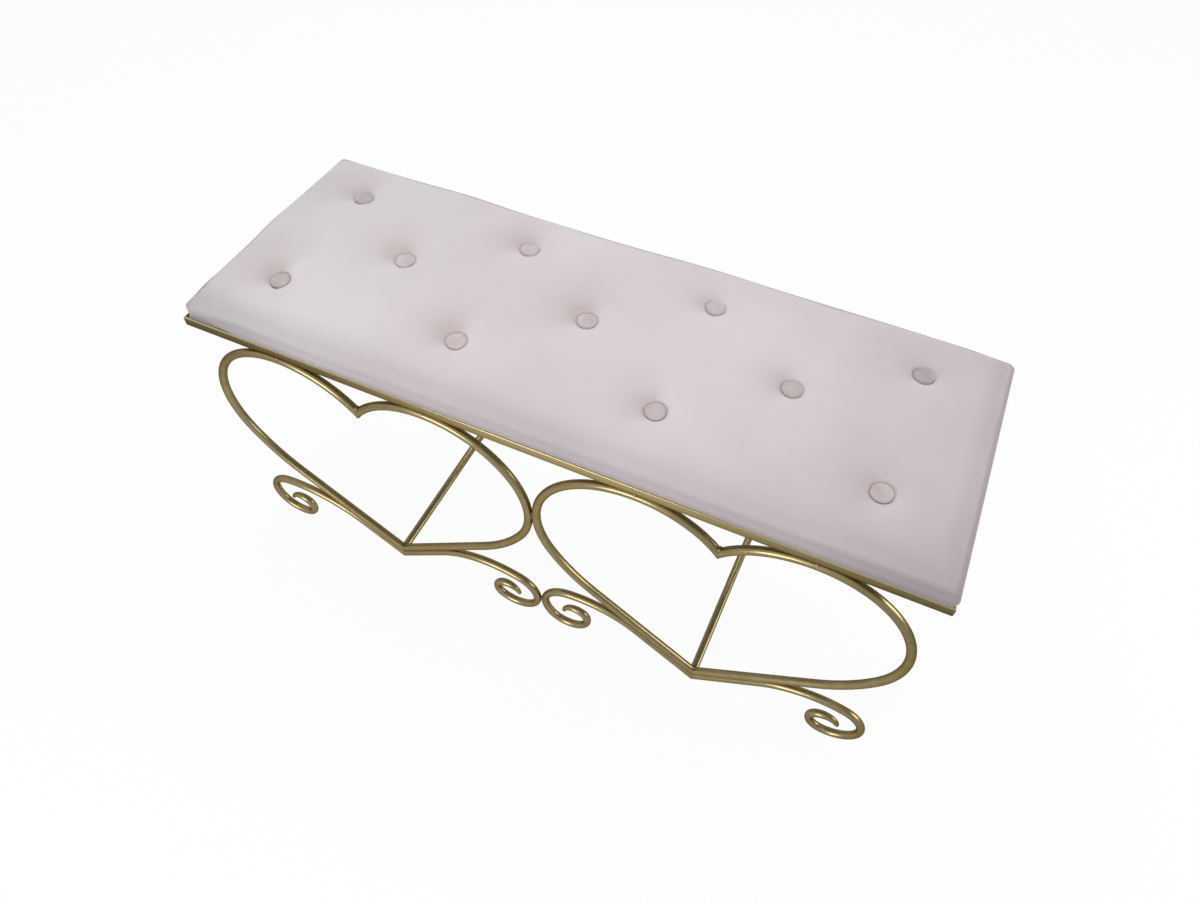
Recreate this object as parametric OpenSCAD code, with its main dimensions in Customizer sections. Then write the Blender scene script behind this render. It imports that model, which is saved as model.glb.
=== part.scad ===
// Metal bedroom bench with heart shaped sides, scroll feet and a button tufted velvet seat.
// Millimetres. The origin is on the floor under the middle of the seat, +Z is up and -Y is the front.

/* [Bench] */
// Length of the seat frame over its outer faces
bench_length = 1000; // [900:1:1200]
// Depth of the seat frame over its outer faces
bench_depth = 360; // [320:1:440]

/* [Hearts] */
// Diameter of the round rod of hearts and feet
rod_d = 12; // [9:0.5:14]
// Space left between a heart and the end of the seat frame
end_margin = 2; // [0:0.5:6]
// Slope of the straight arms of a heart in degrees
arm_slope = 36.4; // [34:0.1:39]
// Bend radius where an arm opens out
flare_radius = 234; // [200:1:270]
// Turn of that bend in degrees
flare_turn = 24; // [20:1:28]
// Turn of a lobe from its top down to the notch between the lobes in degrees
notch_turn = 51.9; // [46:0.1:58]
// Distance from the outer face of the seat frame to the middle of the rods
rod_inset = 4; // [2:0.5:6]
// Slit between two rods that lie side by side, which their weld bead bridges
weld_gap = 0.1; // [0.05:0.05:0.25]

/* [Scroll feet] */
// Bend radius where a foot leaves its heart
shoulder_radius = 140; // [130:1:150]
// Turn of that bend in degrees
shoulder_turn = 50; // [47:1:53]
// Bend radius of the large loop
loop_radius = 42; // [40:0.5:44]
// Turn of the large loop in degrees
loop_turn = 165; // [160:1:170]
// Bend radius of the curl inside the loop
curl_radius = 25; // [24:0.5:26]
// Turn of the curl in degrees
curl_turn = 105; // [100:1:110]
// Bend radius of the last turn
tip_radius = 19.5; // [18.5:0.5:20.5]
// Last turn in degrees
tip_turn = 140; // [125:1:145]

/* [Stretchers] */
// Diameter of the straight rods from front to back
stretcher_d = 12; // [8:0.5:14]
// Height of a stretcher below the point where the arms of a heart meet
stretcher_drop = 2; // [0:0.5:4]

/* [Seat frame] */
// Height of the upright leg of the angle steel
angle_h = 14; // [12:0.5:20]
// Width of the flat leg of the angle steel
angle_w = 15; // [14:0.5:25]
// Thickness of the angle steel
angle_t = 3; // [2:0.25:4]

/* [Seat screws] */
// Diameter of the screw shank
screw_d = 3.5; // [3:0.25:4]
// Diameter of the screw head
screw_head_d = 6.5; // [6:0.25:7]
// Height of the screw head
screw_head_h = 2; // [1.5:0.25:3]
// Length of the screw under its head
screw_length = 10; // [8:0.5:11]
// Distance from the end of a long side to its outer screws
screw_end = 251; // [200:1:300]
// Distance from the end of a short side to its screws
short_screw_end = 110; // [80:1:140]
// Distance of the screws from the inner edge of the flat leg
screw_edge = 4; // [3.5:0.25:5]
// Play round a shank in the angle steel
screw_play = 0.3; // [0.1:0.05:0.4]

/* [Seat board and foam] */
// Thickness of the plywood board
board_t = 9; // [8:0.5:12]
// Thickness of the firm foam slab
firm_foam_t = 15; // [12:0.5:16]
// Thickness of the soft foam slab on it
soft_foam_t = 9; // [6:0.5:10]
// Distance that the soft slab stays back from the edge of the firm one
soft_foam_inset = 34; // [25:1:45]
// Rounding of the corners of board and slabs
slab_corner = 12; // [6:1:20]
// Play between the slabs and the cover
slab_play = 0.3; // [0.2:0.05:0.5]

/* [Cushion] */
// Thickness of velvet and wadding at the side walls
cover_wall = 4; // [3:0.25:5]
// Gap between the cover and the upright leg of the frame
cover_gap = 1; // [0.5:0.25:2]
// Height of the side wall at its widest, above the frame's flat leg
bulge_height = 23; // [20:0.5:26]
// Distance that the side wall reaches past the outer face of the frame
bulge = 0.5; // [0:0.25:2]
// Height of the border of the top above the frame's flat leg
border_height = 31; // [28:0.5:34]
// Distance of that border from the outer face of the frame
border_inset = 10; // [8:0.5:14]
// Rise of the crown from border to middle
crown_h = 20; // [16:0.5:26]
// Extra rise over the rolled edge
roll_h = 6; // [4:0.5:8]
// Width of the rolled edge
roll_width = 15; // [10:1:20]
// Distance that the long sides are drawn in at their middle
draw_in = 1.5; // [0:0.25:3]
// Distance that the short sides are drawn in towards the back
end_draw_in = 4; // [0:0.25:6]
// Pull of each front corner of the cushion along X and along Y
front_corner_pull = 3; // [1:0.5:6]
// Pull of each back corner along X and along Y
back_corner_pull = 6; // [3:0.5:9]

/* [Tufts] */
// Diameter of a covered button
button_d = 26; // [22:0.5:30]
// Height of a covered button
button_h = 7; // [5:0.25:9]
// Height of the straight rim of a button
button_rim = 2.5; // [1.5:0.25:3.5]
// Distance from the end of the seat frame to the first button of a long row
button_end = 104; // [80:1:130]
// Distance from the long side of the seat frame to its row of buttons
button_side = 87; // [75:1:105]
// Depth of a tuft below the crown
tuft_depth = 12; // [9:0.5:14]
// Reach of the dimple round a tuft
tuft_reach = 34; // [24:1:44]
// Play between a button and its dimple
button_play = 0.3; // [0.2:0.05:0.5]
// Diameter of a button's shank
shank_d = 5; // [4:0.5:6]
// Length of a button's shank
shank_h = 2.5; // [2:0.25:3]
// Diameter of the waxed twine under a button
twine_d = 2; // [1.5:0.25:2.5]
// Play round the twine in its holes
twine_play = 1; // [0.5:0.25:2]
// Diameter of the washer that the twine is knotted against
washer_d = 16; // [12:1:18]
// Thickness of that washer
washer_t = 2; // [1.5:0.25:2.5]
// Play round the twine in the washer
washer_play = 0.3; // [0.2:0.05:0.5]
// Diameter of the knot
knot_d = 4; // [3.5:0.25:4.5]
// Depth of the recess for washer and knot in the board
recess_depth = 6; // [5:0.25:7]

/* [Dust cover] */
// Thickness of the cloth under the board
dust_cover_t = 0.6; // [0.4:0.1:1]
// Gap between the cloth and the flat legs of the frame
dust_cover_gap = 1; // [0.5:0.25:2]

/* [Hidden] */
$fn = 64;
rod_r = rod_d / 2;
move_step = 0.1;
bent_r = rod_r - move_step;
steel = [0.52, 0.45, 0.27];
velvet = [0.84, 0.78, 0.80];

// Hearts: each half is a straight arm, a wide bend and a round lobe, with its extreme next to its neighbour
heart_pitch = bench_length / 2 - end_margin;
half_width = heart_pitch / 2 - bent_r - weld_gap / 2;
lobe_radius = half_width / (1 + sin(notch_turn));
flare_end = arm_slope + flare_turn;
flare_x = (flare_radius - lobe_radius) * sin(flare_end) - flare_radius * sin(arm_slope);
arm_run = (half_width - flare_x - lobe_radius) / cos(arm_slope);
lobe_z = arm_run * sin(arm_slope) + flare_radius * cos(arm_slope)
    - (flare_radius - lobe_radius) * cos(flare_end);
lobe_turn = 180 + notch_turn - flare_end;

// Feet: each half is a straight arm under the heart's, a shoulder, a loop, a curl and a tip.
// They are bent by hand: each row holds what one foot adds to the radius and turn of every bend,
// how much further it reaches, and how far it leans out about its arm in degrees.
hand_bends = [
    [[47, -6], [-2, 25], [-3.5, 1], [-0.5, -16], -6, 1],
    [[13, 3], [-2, 29], [-4.5, -1], [0, -21], 1.6, 1.3],
    [[-3, -2], [8, -50], [8, 43], [-0.5, 27], -1.6, 0],
    [[-4, 1], [0, 6], [0, -21], [0.5, 18], -2, 0.7]
];
foot_bends = [
    [shoulder_radius, -shoulder_turn],
    [loop_radius, -loop_turn],
    [curl_radius, -curl_turn],
    [tip_radius, -tip_turn]
];
function foot_bend(half, i) = [
    foot_bends[i][0] + hand_bends[half][i][0],
    foot_bends[i][1] - hand_bends[half][i][1]
];
function shoulder_end(half) = arm_slope + foot_bend(half, 0)[1];
function shoulder_step(half) = foot_bend(half, 0)[0] - foot_bend(half, 1)[0];
function foot_run(half) =
    let (
        loop_x = foot_bend(half, 0)[0] * sin(arm_slope) - shoulder_step(half) * sin(shoulder_end(half))
    )
    (half_width + hand_bends[half][4] - loop_x - foot_bend(half, 1)[0]) / cos(arm_slope);
function loop_low(half) =
    let (
        heading = max(shoulder_end(half) + foot_bend(half, 1)[1], -180),
        curl_step = foot_bend(half, 1)[0] - foot_bend(half, 2)[0]
    )
    foot_run(half) * sin(arm_slope) - foot_bend(half, 0)[0] * cos(arm_slope)
        + shoulder_step(half) * cos(shoulder_end(half)) + curl_step * cos(heading) - foot_bend(half, 2)[0];
foot_z = bent_r - min([for (half = [0 : 3]) loop_low(half)]);
heart_z = foot_z + (rod_d + weld_gap) / cos(arm_slope);
side_y = bench_depth / 2 - rod_inset;
mitre_reach = 12;
move_lap = 0.3;

// Heights of the seat
frame_z = heart_z + lobe_z + lobe_radius + bent_r + weld_gap;
seat_z = frame_z + angle_t;
firm_foam_z = seat_z + board_t;
soft_foam_z = firm_foam_z + firm_foam_t;
stretcher_z = heart_z - stretcher_drop;

// Plan of the seat
wall_inset = angle_t + cover_gap;
slab_inset = wall_inset + cover_wall + slab_play;
half_length = bench_length / 2;
half_depth = bench_depth / 2;
screw_inset = angle_w - screw_edge;

// Tufts: two rows of four and between them one of three, each shifted a little by hand
row_shift = [-3, -2, 1];
button_pitch = (bench_length - 2 * button_end) / 3;
row_pitch = half_depth - button_side;
function tuft_row(count, row) = [
    for (i = [0 : count - 1])
        [(i - (count - 1) / 2) * button_pitch + row_shift[row], (row - 1) * row_pitch]
];
tufts = concat(tuft_row(4, 0), tuft_row(3, 1), tuft_row(4, 2));

function dome(p) =
    let (
        u = p[0] / half_length,
        v = p[1] / half_depth,
        edge = min(half_length - abs(p[0]), half_depth - abs(p[1])) - border_inset
    )
    seat_z + border_height
        + crown_h * (1 - pow(u, 8)) * (1 - v * v)
        + roll_h * (1 - exp(-max(edge, 0) / roll_width));
function dimple(p) = tuft_depth * max([for (t = tufts) exp(-pow(norm(p - t) / tuft_reach, 2))]);
function button_z(t) = dome(t) - tuft_depth;

// Cushion surface: border loops from the lower edge upwards, then a grid over the top
cell_length = 26.3;
cell_width = 22.5;
cells_x = round(bench_length / cell_length);
cells_y = round(bench_depth / cell_width);
loop_size = 2 * (cells_x + cells_y);
side_profile = [
    [wall_inset, 0],
    [wall_inset, angle_h - angle_t],
    [(wall_inset - bulge) / 3, angle_h + angle_t],
    [-bulge, bulge_height],
    [border_inset / 3, (bulge_height + 2 * border_height) / 3],
    [border_inset, border_height]
];
last_loop = len(side_profile) - 1;

function loop_cell(k) =
    k < cells_x ? [k, 0]
    : k < cells_x + cells_y ? [cells_x, k - cells_x]
    : k < 2 * cells_x + cells_y ? [2 * cells_x + cells_y - k, cells_y]
    : [0, loop_size - k];
function end_draw(u, v) = end_draw_in * (u > 0 ? 1 - pow((1 - v) / 2, 3) : pow(max(v, 0), 2));
function plan(cell, inset) =
    let (
        u = 2 * cell[0] / cells_x - 1,
        v = 2 * cell[1] / cells_y - 1,
        pull = abs(u * v) < 1 ? 0 : v < 0 ? front_corner_pull : back_corner_pull,
        waist = draw_in * (1 - u * u) * pow(v, 2)
    )
    [
        u * (half_length - inset - pull - end_draw(u, v)),
        v * (half_depth - inset - pull - waist)
    ];
function loop_points(level) = [
    for (k = [0 : loop_size - 1])
        let (p = plan(loop_cell(k), side_profile[level][0]))
        [p[0], p[1], seat_z + side_profile[level][1]]
];
top_points = [
    for (j = [1 : cells_y - 1], i = [1 : cells_x - 1])
        let (p = plan([i, j], border_inset))
        [p[0], p[1], dome(p) - dimple(p)]
];
top_start = len(side_profile) * loop_size;
function top_index(i, j) =
    j == 0 ? last_loop * loop_size + i
    : i == cells_x ? last_loop * loop_size + cells_x + j
    : j == cells_y ? last_loop * loop_size + 2 * cells_x + cells_y - i
    : i == 0 ? last_loop * loop_size + (loop_size - j)
    : top_start + (j - 1) * (cells_x - 1) + i - 1;
function two_triangles(a, b, c, d) = [[a, b, c], [a, c, d]];

side_names = ["front", "back"];
half_names = ["left_outer", "left_inner", "right_inner", "right_outer"];
rail_names = ["rail_front", "rail_right", "rail_back", "rail_left"];

// A rod in the XY plane from the origin along +X, made of [length, 0] runs and [radius, turn] bends.
// It draws down a hair at each bend, and each move starts inside the one before it.
module bent_rod(moves, d, i = 0) {
    if (i < len(moves)) {
        size = moves[i][0];
        turn = moves[i][1];
        lap = i == 0 ? 0 : move_lap;
        if (turn == 0) {
            translate([-lap, 0, 0]) rotate([0, 90, 0]) cylinder(d = d, h = size + lap);
            translate([size, 0, 0]) bent_rod(moves, d - move_step, i + 1);
        } else {
            side = sign(turn);
            lap_turn = lap / size * 180 / PI;
            start = turn > 0 ? -90 - lap_turn : 90 + turn;
            translate([0, side * size, 0]) {
                rotate([0, 0, start]) rotate_extrude(angle = abs(turn) + lap_turn)
                    translate([size, 0]) circle(d = d);
                rotate([0, 0, turn]) translate([0, -side * size, 0])
                    bent_rod(moves, d - move_step, i + 1);
            }
        }
    }
}

// Sets a half, drawn to the right of its heart's middle in XZ, at its place in a side of the bench
module place_half(side, half) {
    front = side == 0 ? -1 : 1;
    centre_x = (half < 2 ? -1 : 1) * heart_pitch / 2;
    flip = half % 2 == 0 ? 1 : 0;
    translate([centre_x, front * side_y, 0]) mirror([flip, 0, 0]) children();
}

// Keeps what lies right of the heart's middle and above the floor
module right_half() {
    intersection() {
        children();
        translate([0, -2 * rod_d, 0]) cube([heart_pitch, 4 * rod_d, 2 * (lobe_z + lobe_radius)]);
    }
}

module heart_half() {
    past_middle = 8;
    color(steel) right_half()
        translate([0, 0, heart_z]) rotate([90, 0, 0]) rotate([0, 0, arm_slope])
            translate([-mitre_reach, 0, 0]) bent_rod(
                [
                    [arm_run + mitre_reach, 0],
                    [flare_radius, flare_turn],
                    [lobe_radius, lobe_turn + past_middle]
                ],
                rod_d
            );
}

module foot_half(side, half) {
    lean = (side == 0 ? -1 : 1) * hand_bends[half][5];
    color(steel) right_half()
        translate([0, 0, foot_z]) rotate([90, 0, 0]) rotate([0, 0, arm_slope]) rotate([lean, 0, 0])
            translate([-mitre_reach, 0, 0]) bent_rod(
                concat(
                    [[foot_run(half) + mitre_reach, 0]],
                    [for (i = [0 : len(foot_bends) - 1]) foot_bend(half, i)]
                ),
                rod_d
            );
}

module stretcher(side) {
    reach = side_y - rod_r - weld_gap;
    color(steel) translate([side * heart_pitch / 2, reach, stretcher_z])
        rotate([90, 0, 0]) cylinder(d = stretcher_d, h = 2 * reach);
}

// A flat strip with mitred ends, its outer edge on the X axis
module mitred_strip(length, width) {
    polygon([
        [-length / 2, 0],
        [length / 2, 0],
        [length / 2 - width, width],
        [width - length / 2, width]
    ]);
}

screw_reach = half_length - screw_end;
short_screw_reach = half_depth - short_screw_end;
long_screws = [-screw_reach, 0, screw_reach];
short_screws = [-short_screw_reach, short_screw_reach];

// Angle steel of one side, its outer face towards -Y, with holes for the seat screws
module rail(length, distance, screws) {
    color(steel) translate([0, -distance, frame_z]) difference() {
        union() {
            linear_extrude(angle_h) mitred_strip(length, angle_t);
            linear_extrude(angle_t) mitred_strip(length, angle_w);
        }
        for (x = screws)
            translate([x, screw_inset, -1]) cylinder(d = screw_d + 2 * screw_play, h = angle_t + 2);
    }
}

module rail_side(index) {
    long = index % 2 == 0;
    rotate([0, 0, 90 * index])
        if (long) rail(bench_length, half_depth, long_screws);
        else rail(bench_depth, half_length, short_screws);
}

// Sets its children at every seat screw, under the flat legs of the frame
module at_screws() {
    for (turn = [0, 180]) rotate([0, 0, turn]) {
        for (x = long_screws) translate([x, screw_inset - half_depth, frame_z]) children();
        for (y = short_screws) translate([half_length - screw_inset, y, frame_z]) children();
    }
}

module seat_screws() {
    color("silver") at_screws() {
        translate([0, 0, -screw_head_h]) cylinder(d = screw_head_d, h = screw_head_h);
        cylinder(d = screw_d, h = screw_length);
    }
}

// A flat slab with rounded corners, held back from the outer faces of the frame
module slab(inset, thickness) {
    x = half_length - inset - slab_corner;
    y = half_depth - inset - slab_corner;
    linear_extrude(thickness) union() {
        square([2 * x, 2 * (y + slab_corner)], center = true);
        square([2 * (x + slab_corner), 2 * y], center = true);
        for (sx = [-1, 1], sy = [-1, 1]) translate([sx * x, sy * y]) circle(r = slab_corner);
    }
}

module twine_holes(z, depth) {
    for (t = tufts) translate([t[0], t[1], z]) cylinder(d = twine_d + 2 * twine_play, h = depth);
}

module seat_board() {
    color("burlywood") difference() {
        translate([0, 0, seat_z]) slab(slab_inset, board_t);
        twine_holes(seat_z - 1, board_t + 2);
        for (t = tufts)
            translate([t[0], t[1], seat_z - 1])
                cylinder(d = washer_d + 2 * twine_play, h = recess_depth + 1);
        at_screws() cylinder(d = screw_d, h = screw_length + 1);
    }
}

module firm_foam() {
    color("khaki") difference() {
        translate([0, 0, firm_foam_z]) slab(slab_inset, firm_foam_t);
        twine_holes(firm_foam_z - 1, firm_foam_t + 2);
    }
}

module soft_foam() {
    color("lightyellow") difference() {
        translate([0, 0, soft_foam_z]) slab(slab_inset + soft_foam_inset, soft_foam_t);
        twine_holes(soft_foam_z - 1, soft_foam_t + 2);
    }
}

// The outer form of the cushion: drawn in at the frame, bulging over it, crowned and dimpled
module cushion_form() {
    centre = len(side_profile) * loop_size + len(top_points);
    points = concat(
        [for (level = [0 : last_loop]) each loop_points(level)],
        top_points,
        [[0, 0, seat_z]]
    );
    walls = [
        for (level = [0 : last_loop - 1], k = [0 : loop_size - 1])
            let (
                n = (k + 1) % loop_size,
                low = level * loop_size,
                high = low + loop_size
            )
            each two_triangles(low + k, high + k, high + n, low + n)
    ];
    top = [
        for (i = [0 : cells_x - 1], j = [0 : cells_y - 1])
            each two_triangles(
                top_index(i, j), top_index(i, j + 1), top_index(i + 1, j + 1), top_index(i + 1, j)
            )
    ];
    base = [for (k = [0 : loop_size - 1]) [k, (k + 1) % loop_size, centre]];
    polyhedron(points, concat(walls, top, base));
}

module velvet_cover() {
    color(velvet) difference() {
        cushion_form();
        translate([0, 0, seat_z - 1])
            slab(slab_inset - slab_play, 1 + board_t + firm_foam_t + slab_play);
        translate([0, 0, soft_foam_z])
            slab(slab_inset + soft_foam_inset - slab_play, soft_foam_t + slab_play);
        for (t = tufts) translate([t[0], t[1], button_z(t) - button_play]) {
            cylinder(d = button_d + 2 * button_play, h = tuft_depth + crown_h);
            translate([0, 0, -shank_h - tuft_depth])
                cylinder(d = shank_d + 2 * button_play, h = tuft_depth + crown_h);
        }
    }
}

module tuft_button(t) {
    r = button_d / 2;
    rise = button_h - button_rim;
    ball_r = (r * r + rise * rise) / (2 * rise);
    color(velvet) translate([t[0], t[1], button_z(t)]) {
        cylinder(r = r, h = button_rim);
        translate([0, 0, button_rim]) intersection() {
            translate([0, 0, rise - ball_r]) sphere(r = ball_r);
            cylinder(r = r, h = rise);
        }
        translate([0, 0, -shank_h]) cylinder(d = shank_d, h = shank_h);
    }
}

module tuft_twines() {
    knot_z = seat_z + recess_depth - washer_t - knot_d / 2;
    color("ivory") for (t = tufts) translate([t[0], t[1], knot_z]) {
        sphere(d = knot_d);
        cylinder(d = twine_d, h = button_z(t) - shank_h - knot_z);
    }
}

module twine_washers() {
    color("dimgray") for (t = tufts)
        translate([t[0], t[1], seat_z + recess_depth - washer_t]) difference() {
            cylinder(d = washer_d, h = washer_t);
            translate([0, 0, -1]) cylinder(d = twine_d + 2 * washer_play, h = washer_t + 2);
        }
}

module dust_cover() {
    x = half_length - angle_w - dust_cover_gap;
    y = half_depth - angle_w - dust_cover_gap;
    color("darkgray") translate([-x, -y, seat_z - dust_cover_t]) cube([2 * x, 2 * y, dust_cover_t]);
}

for (i = [0 : 3])
    rail_side(i);
for (s = [0, 1], h = [0 : 3]) {
    place_half(s, h) heart_half();
    place_half(s, h) foot_half(s, h);
}
stretcher(-1);  // stretcher_left
stretcher(1);  // stretcher_right
seat_screws();
seat_board();
firm_foam();
soft_foam();
velvet_cover();
dust_cover();
tuft_twines();
twine_washers();
for (i = [1 : len(tufts)])
    tuft_button(tufts[i - 1]);
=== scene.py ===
import math

import bmesh
import bpy
from mathutils import Matrix, Vector, noise


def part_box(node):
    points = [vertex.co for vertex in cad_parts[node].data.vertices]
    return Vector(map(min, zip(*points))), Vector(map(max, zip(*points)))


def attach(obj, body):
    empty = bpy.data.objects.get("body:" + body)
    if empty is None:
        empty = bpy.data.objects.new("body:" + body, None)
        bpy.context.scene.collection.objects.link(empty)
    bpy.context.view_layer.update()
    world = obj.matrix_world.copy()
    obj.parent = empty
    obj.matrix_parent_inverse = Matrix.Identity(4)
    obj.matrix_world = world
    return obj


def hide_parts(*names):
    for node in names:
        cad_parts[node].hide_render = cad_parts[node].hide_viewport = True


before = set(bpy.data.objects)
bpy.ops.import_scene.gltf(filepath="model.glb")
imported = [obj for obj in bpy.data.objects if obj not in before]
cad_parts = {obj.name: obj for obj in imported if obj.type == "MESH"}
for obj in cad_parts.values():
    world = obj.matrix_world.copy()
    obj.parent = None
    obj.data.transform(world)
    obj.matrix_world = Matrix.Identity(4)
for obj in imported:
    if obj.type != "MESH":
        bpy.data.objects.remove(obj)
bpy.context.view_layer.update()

scene = bpy.context.scene
scene.view_settings.view_transform = "Standard"

# The camera: it stands a little right of the middle of the bench and in front of it, above eye height for
# someone seated, and looks down across the seat. Its lens gives the photograph's frame at 1200 by 900.
camera = bpy.data.objects.new("camera", bpy.data.cameras.new("camera"))
scene.collection.objects.link(camera)
scene.camera = camera
camera.data.sensor_width = 36
camera.data.lens = 26.4874
camera.data.clip_start = 0.02
camera.matrix_world = Matrix((
    (0.90794398, -0.33730662, 0.24872066, 0.338109),
    (0.41908056, 0.72644446, -0.54465579, -0.704506),
    (0.00303426, 0.59875095, 0.80092952, 1.254198),
    (0, 0, 0, 1),
))


# The studio: white paper under the bench with the open white room round it. A soft lamp hangs over the back
# of the bench, two tall ones stand in front and at the right, and the room adds plain light from all sides.
def put(tree, kind, values=None, **settings):
    """Adds one shader node: its settings, and a value or a link for each named socket."""
    item = tree.nodes.new(kind)
    for name, value in settings.items():
        setattr(item, name, value)
    for socket, value in (values or {}).items():
        if isinstance(value, bpy.types.NodeSocket):
            tree.links.new(value, item.inputs[socket])
        else:
            item.inputs[socket].default_value = value
    return item


def reckon(tree, operation, first, second=0.0):
    """The result of one sum on two values."""
    return put(tree, "ShaderNodeMath", {0: first, 1: second}, operation=operation).outputs[0]


def ramp(tree, value, start, end, low=0.0, high=1.0, smooth=False):
    """Goes from low to high while a value goes from start to end, and stays there beyond them."""
    ends = {"Value": value, "From Min": start, "From Max": end, "To Min": low, "To Max": high}
    return put(tree, "ShaderNodeMapRange", ends, interpolation_type="SMOOTHSTEP" if smooth else "LINEAR").outputs[0]


def seen_or_mirrored(tree):
    """1 for rays that come straight from the camera, from a mirror or through glass."""
    path = put(tree, "ShaderNodeLightPath").outputs
    seen = reckon(tree, "MAXIMUM", path["Is Camera Ray"], path["Is Glossy Ray"])
    return reckon(tree, "MAXIMUM", seen, path["Is Transmission Ray"])


white, front_of_room = (1, 1, 1, 1), (-0.35, -0.94, 0)
room = bpy.data.worlds.new("white_room")
scene.world = room
room.use_nodes = True
room_tree = room.node_tree
room_tree.nodes.clear()
light_of_room = put(room_tree, "ShaderNodeBackground", {"Color": white, "Strength": 0.55})
towards = put(room_tree, "ShaderNodeTexCoord").outputs["Generated"]
sides_of_room = put(room_tree, "ShaderNodeSeparateXYZ", {0: towards}).outputs
frontal = put(room_tree, "ShaderNodeVectorMath", {0: towards, 1: front_of_room}, operation="DOT_PRODUCT")
front_share = ramp(room_tree, frontal.outputs["Value"], -0.9, 0.9, 0.55, 0.96)
high_up = ramp(room_tree, sides_of_room["Z"], 0.12, 0.5, 0, 0.75)
to_right = ramp(room_tree, sides_of_room["X"], 0.3, 0.85)
lit = reckon(room_tree, "SUBTRACT", 1.0, reckon(room_tree, "MULTIPLY", high_up, to_right))
in_mirror = reckon(room_tree, "MULTIPLY", lit, front_share)
straight = put(room_tree, "ShaderNodeLightPath").outputs["Is Camera Ray"]
strength = reckon(room_tree, "MAXIMUM", in_mirror, straight)
white_of_room = put(room_tree, "ShaderNodeBackground", {"Color": white, "Strength": strength})
room_mix = put(room_tree, "ShaderNodeMixShader",
               {0: seen_or_mirrored(room_tree), 1: light_of_room.outputs[0], 2: white_of_room.outputs[0]})
put(room_tree, "ShaderNodeOutputWorld", {"Surface": room_mix.outputs[0]})

paper_half, paper_drop = 8, 0.0006
paper_sheet = bmesh.new()
bmesh.ops.create_grid(paper_sheet, x_segments=8, y_segments=8, size=paper_half)
bmesh.ops.translate(paper_sheet, verts=paper_sheet.verts[:], vec=(0, 0, -paper_drop))
floor = bpy.data.objects.new("floor", bpy.data.meshes.new("floor"))
paper_sheet.to_mesh(floor.data)
paper_sheet.free()
scene.collection.objects.link(floor)
paper = bpy.data.materials.new("white_paper")
paper.use_nodes = True
paper_tree = paper.node_tree
paper_tree.nodes.clear()
on_paper = put(paper_tree, "ShaderNodeTexCoord").outputs["Object"]
across_paper = put(paper_tree, "ShaderNodeSeparateXYZ", {0: on_paper}).outputs["Y"]
# Painted light on the paper, seen only in reflections: brighter towards the front, and brightest in a broad pool in
# front of the bench, left of its middle.
painted_front_light = ramp(paper_tree, across_paper, 0.1, -0.3, 0.62, 1.0)
squeezed = put(paper_tree, "ShaderNodeMapping", {"Vector": on_paper, "Scale": (1, 0.35, 1)}).outputs[0]
from_light_pool = put(paper_tree, "ShaderNodeVectorMath", {0: squeezed, 1: (-0.2, -0.175, 0)}, operation="DISTANCE")
painted_light_pool = ramp(paper_tree, from_light_pool.outputs["Value"], 0.3, 1.0, 1.0, 0.66)
path = put(paper_tree, "ShaderNodeLightPath").outputs
direct = reckon(paper_tree, "MAXIMUM", path["Is Camera Ray"], path["Is Transmission Ray"])
whiteness = reckon(paper_tree, "MAXIMUM", reckon(paper_tree, "MULTIPLY", painted_front_light, painted_light_pool), direct)
share_white = reckon(paper_tree, "MULTIPLY", seen_or_mirrored(paper_tree), 0.94)
lit_paper = put(paper_tree, "ShaderNodeBsdfDiffuse", {"Color": (0.92, 0.92, 0.92, 1)})
white_paper = put(paper_tree, "ShaderNodeEmission", {"Color": white, "Strength": whiteness})
paper_mix = put(paper_tree, "ShaderNodeMixShader",
                {0: share_white, 1: lit_paper.outputs[0], 2: white_paper.outputs[0]})
put(paper_tree, "ShaderNodeOutputMaterial", {"Surface": paper_mix.outputs[0]})
floor.data.materials.append(paper)


def soft_lamp(name, place, aim, size, watts):
    """A rectangular lamp at a place, turned towards its aim."""
    lamp = bpy.data.objects.new(name, bpy.data.lights.new(name, "AREA"))
    lamp.data.shape = "RECTANGLE"
    lamp.data.size, lamp.data.size_y = size
    lamp.data.energy = watts
    lamp.location = place
    lamp.rotation_euler = (Vector(aim) - Vector(place)).to_track_quat("-Z", "Y").to_euler()
    scene.collection.objects.link(lamp)


soft_lamp("lamp_over", (-0.24, 0.6, 1.75), (-0.05, 0, 0.5), (0.9, 0.6), 9.2)
soft_lamp("lamp_front", (-0.62, -2.55, 0.85), (-0.1, 0, 0.35), (1.4, 1.05), 33)
soft_lamp("lamp_right", (2.5, 0.46, 0.8), (0.1, 0, 0.35), (1.5, 1.05), 23)


# The hearts: two on each long side, each of a left and a right half. A half is one round steel rod, bent over
# a former into a straight arm, a wide flare and a round lobe. The halves are welded and sprayed satin gold.
rod_radius = 0.00597
heart_pitch, half_width, side_y = 0.498, 0.24305, 0.176
arm_slope, heart_z, mitre_reach = 36.4, 0.0208, 0.012
arm_run, flare_bend, lobe_bend = 0.19965, (0.234, 24), (0.13602, 179.5)
side_names = ["front", "back"]
half_names = ["left_outer", "left_inner", "right_inner", "right_outer"]


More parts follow.
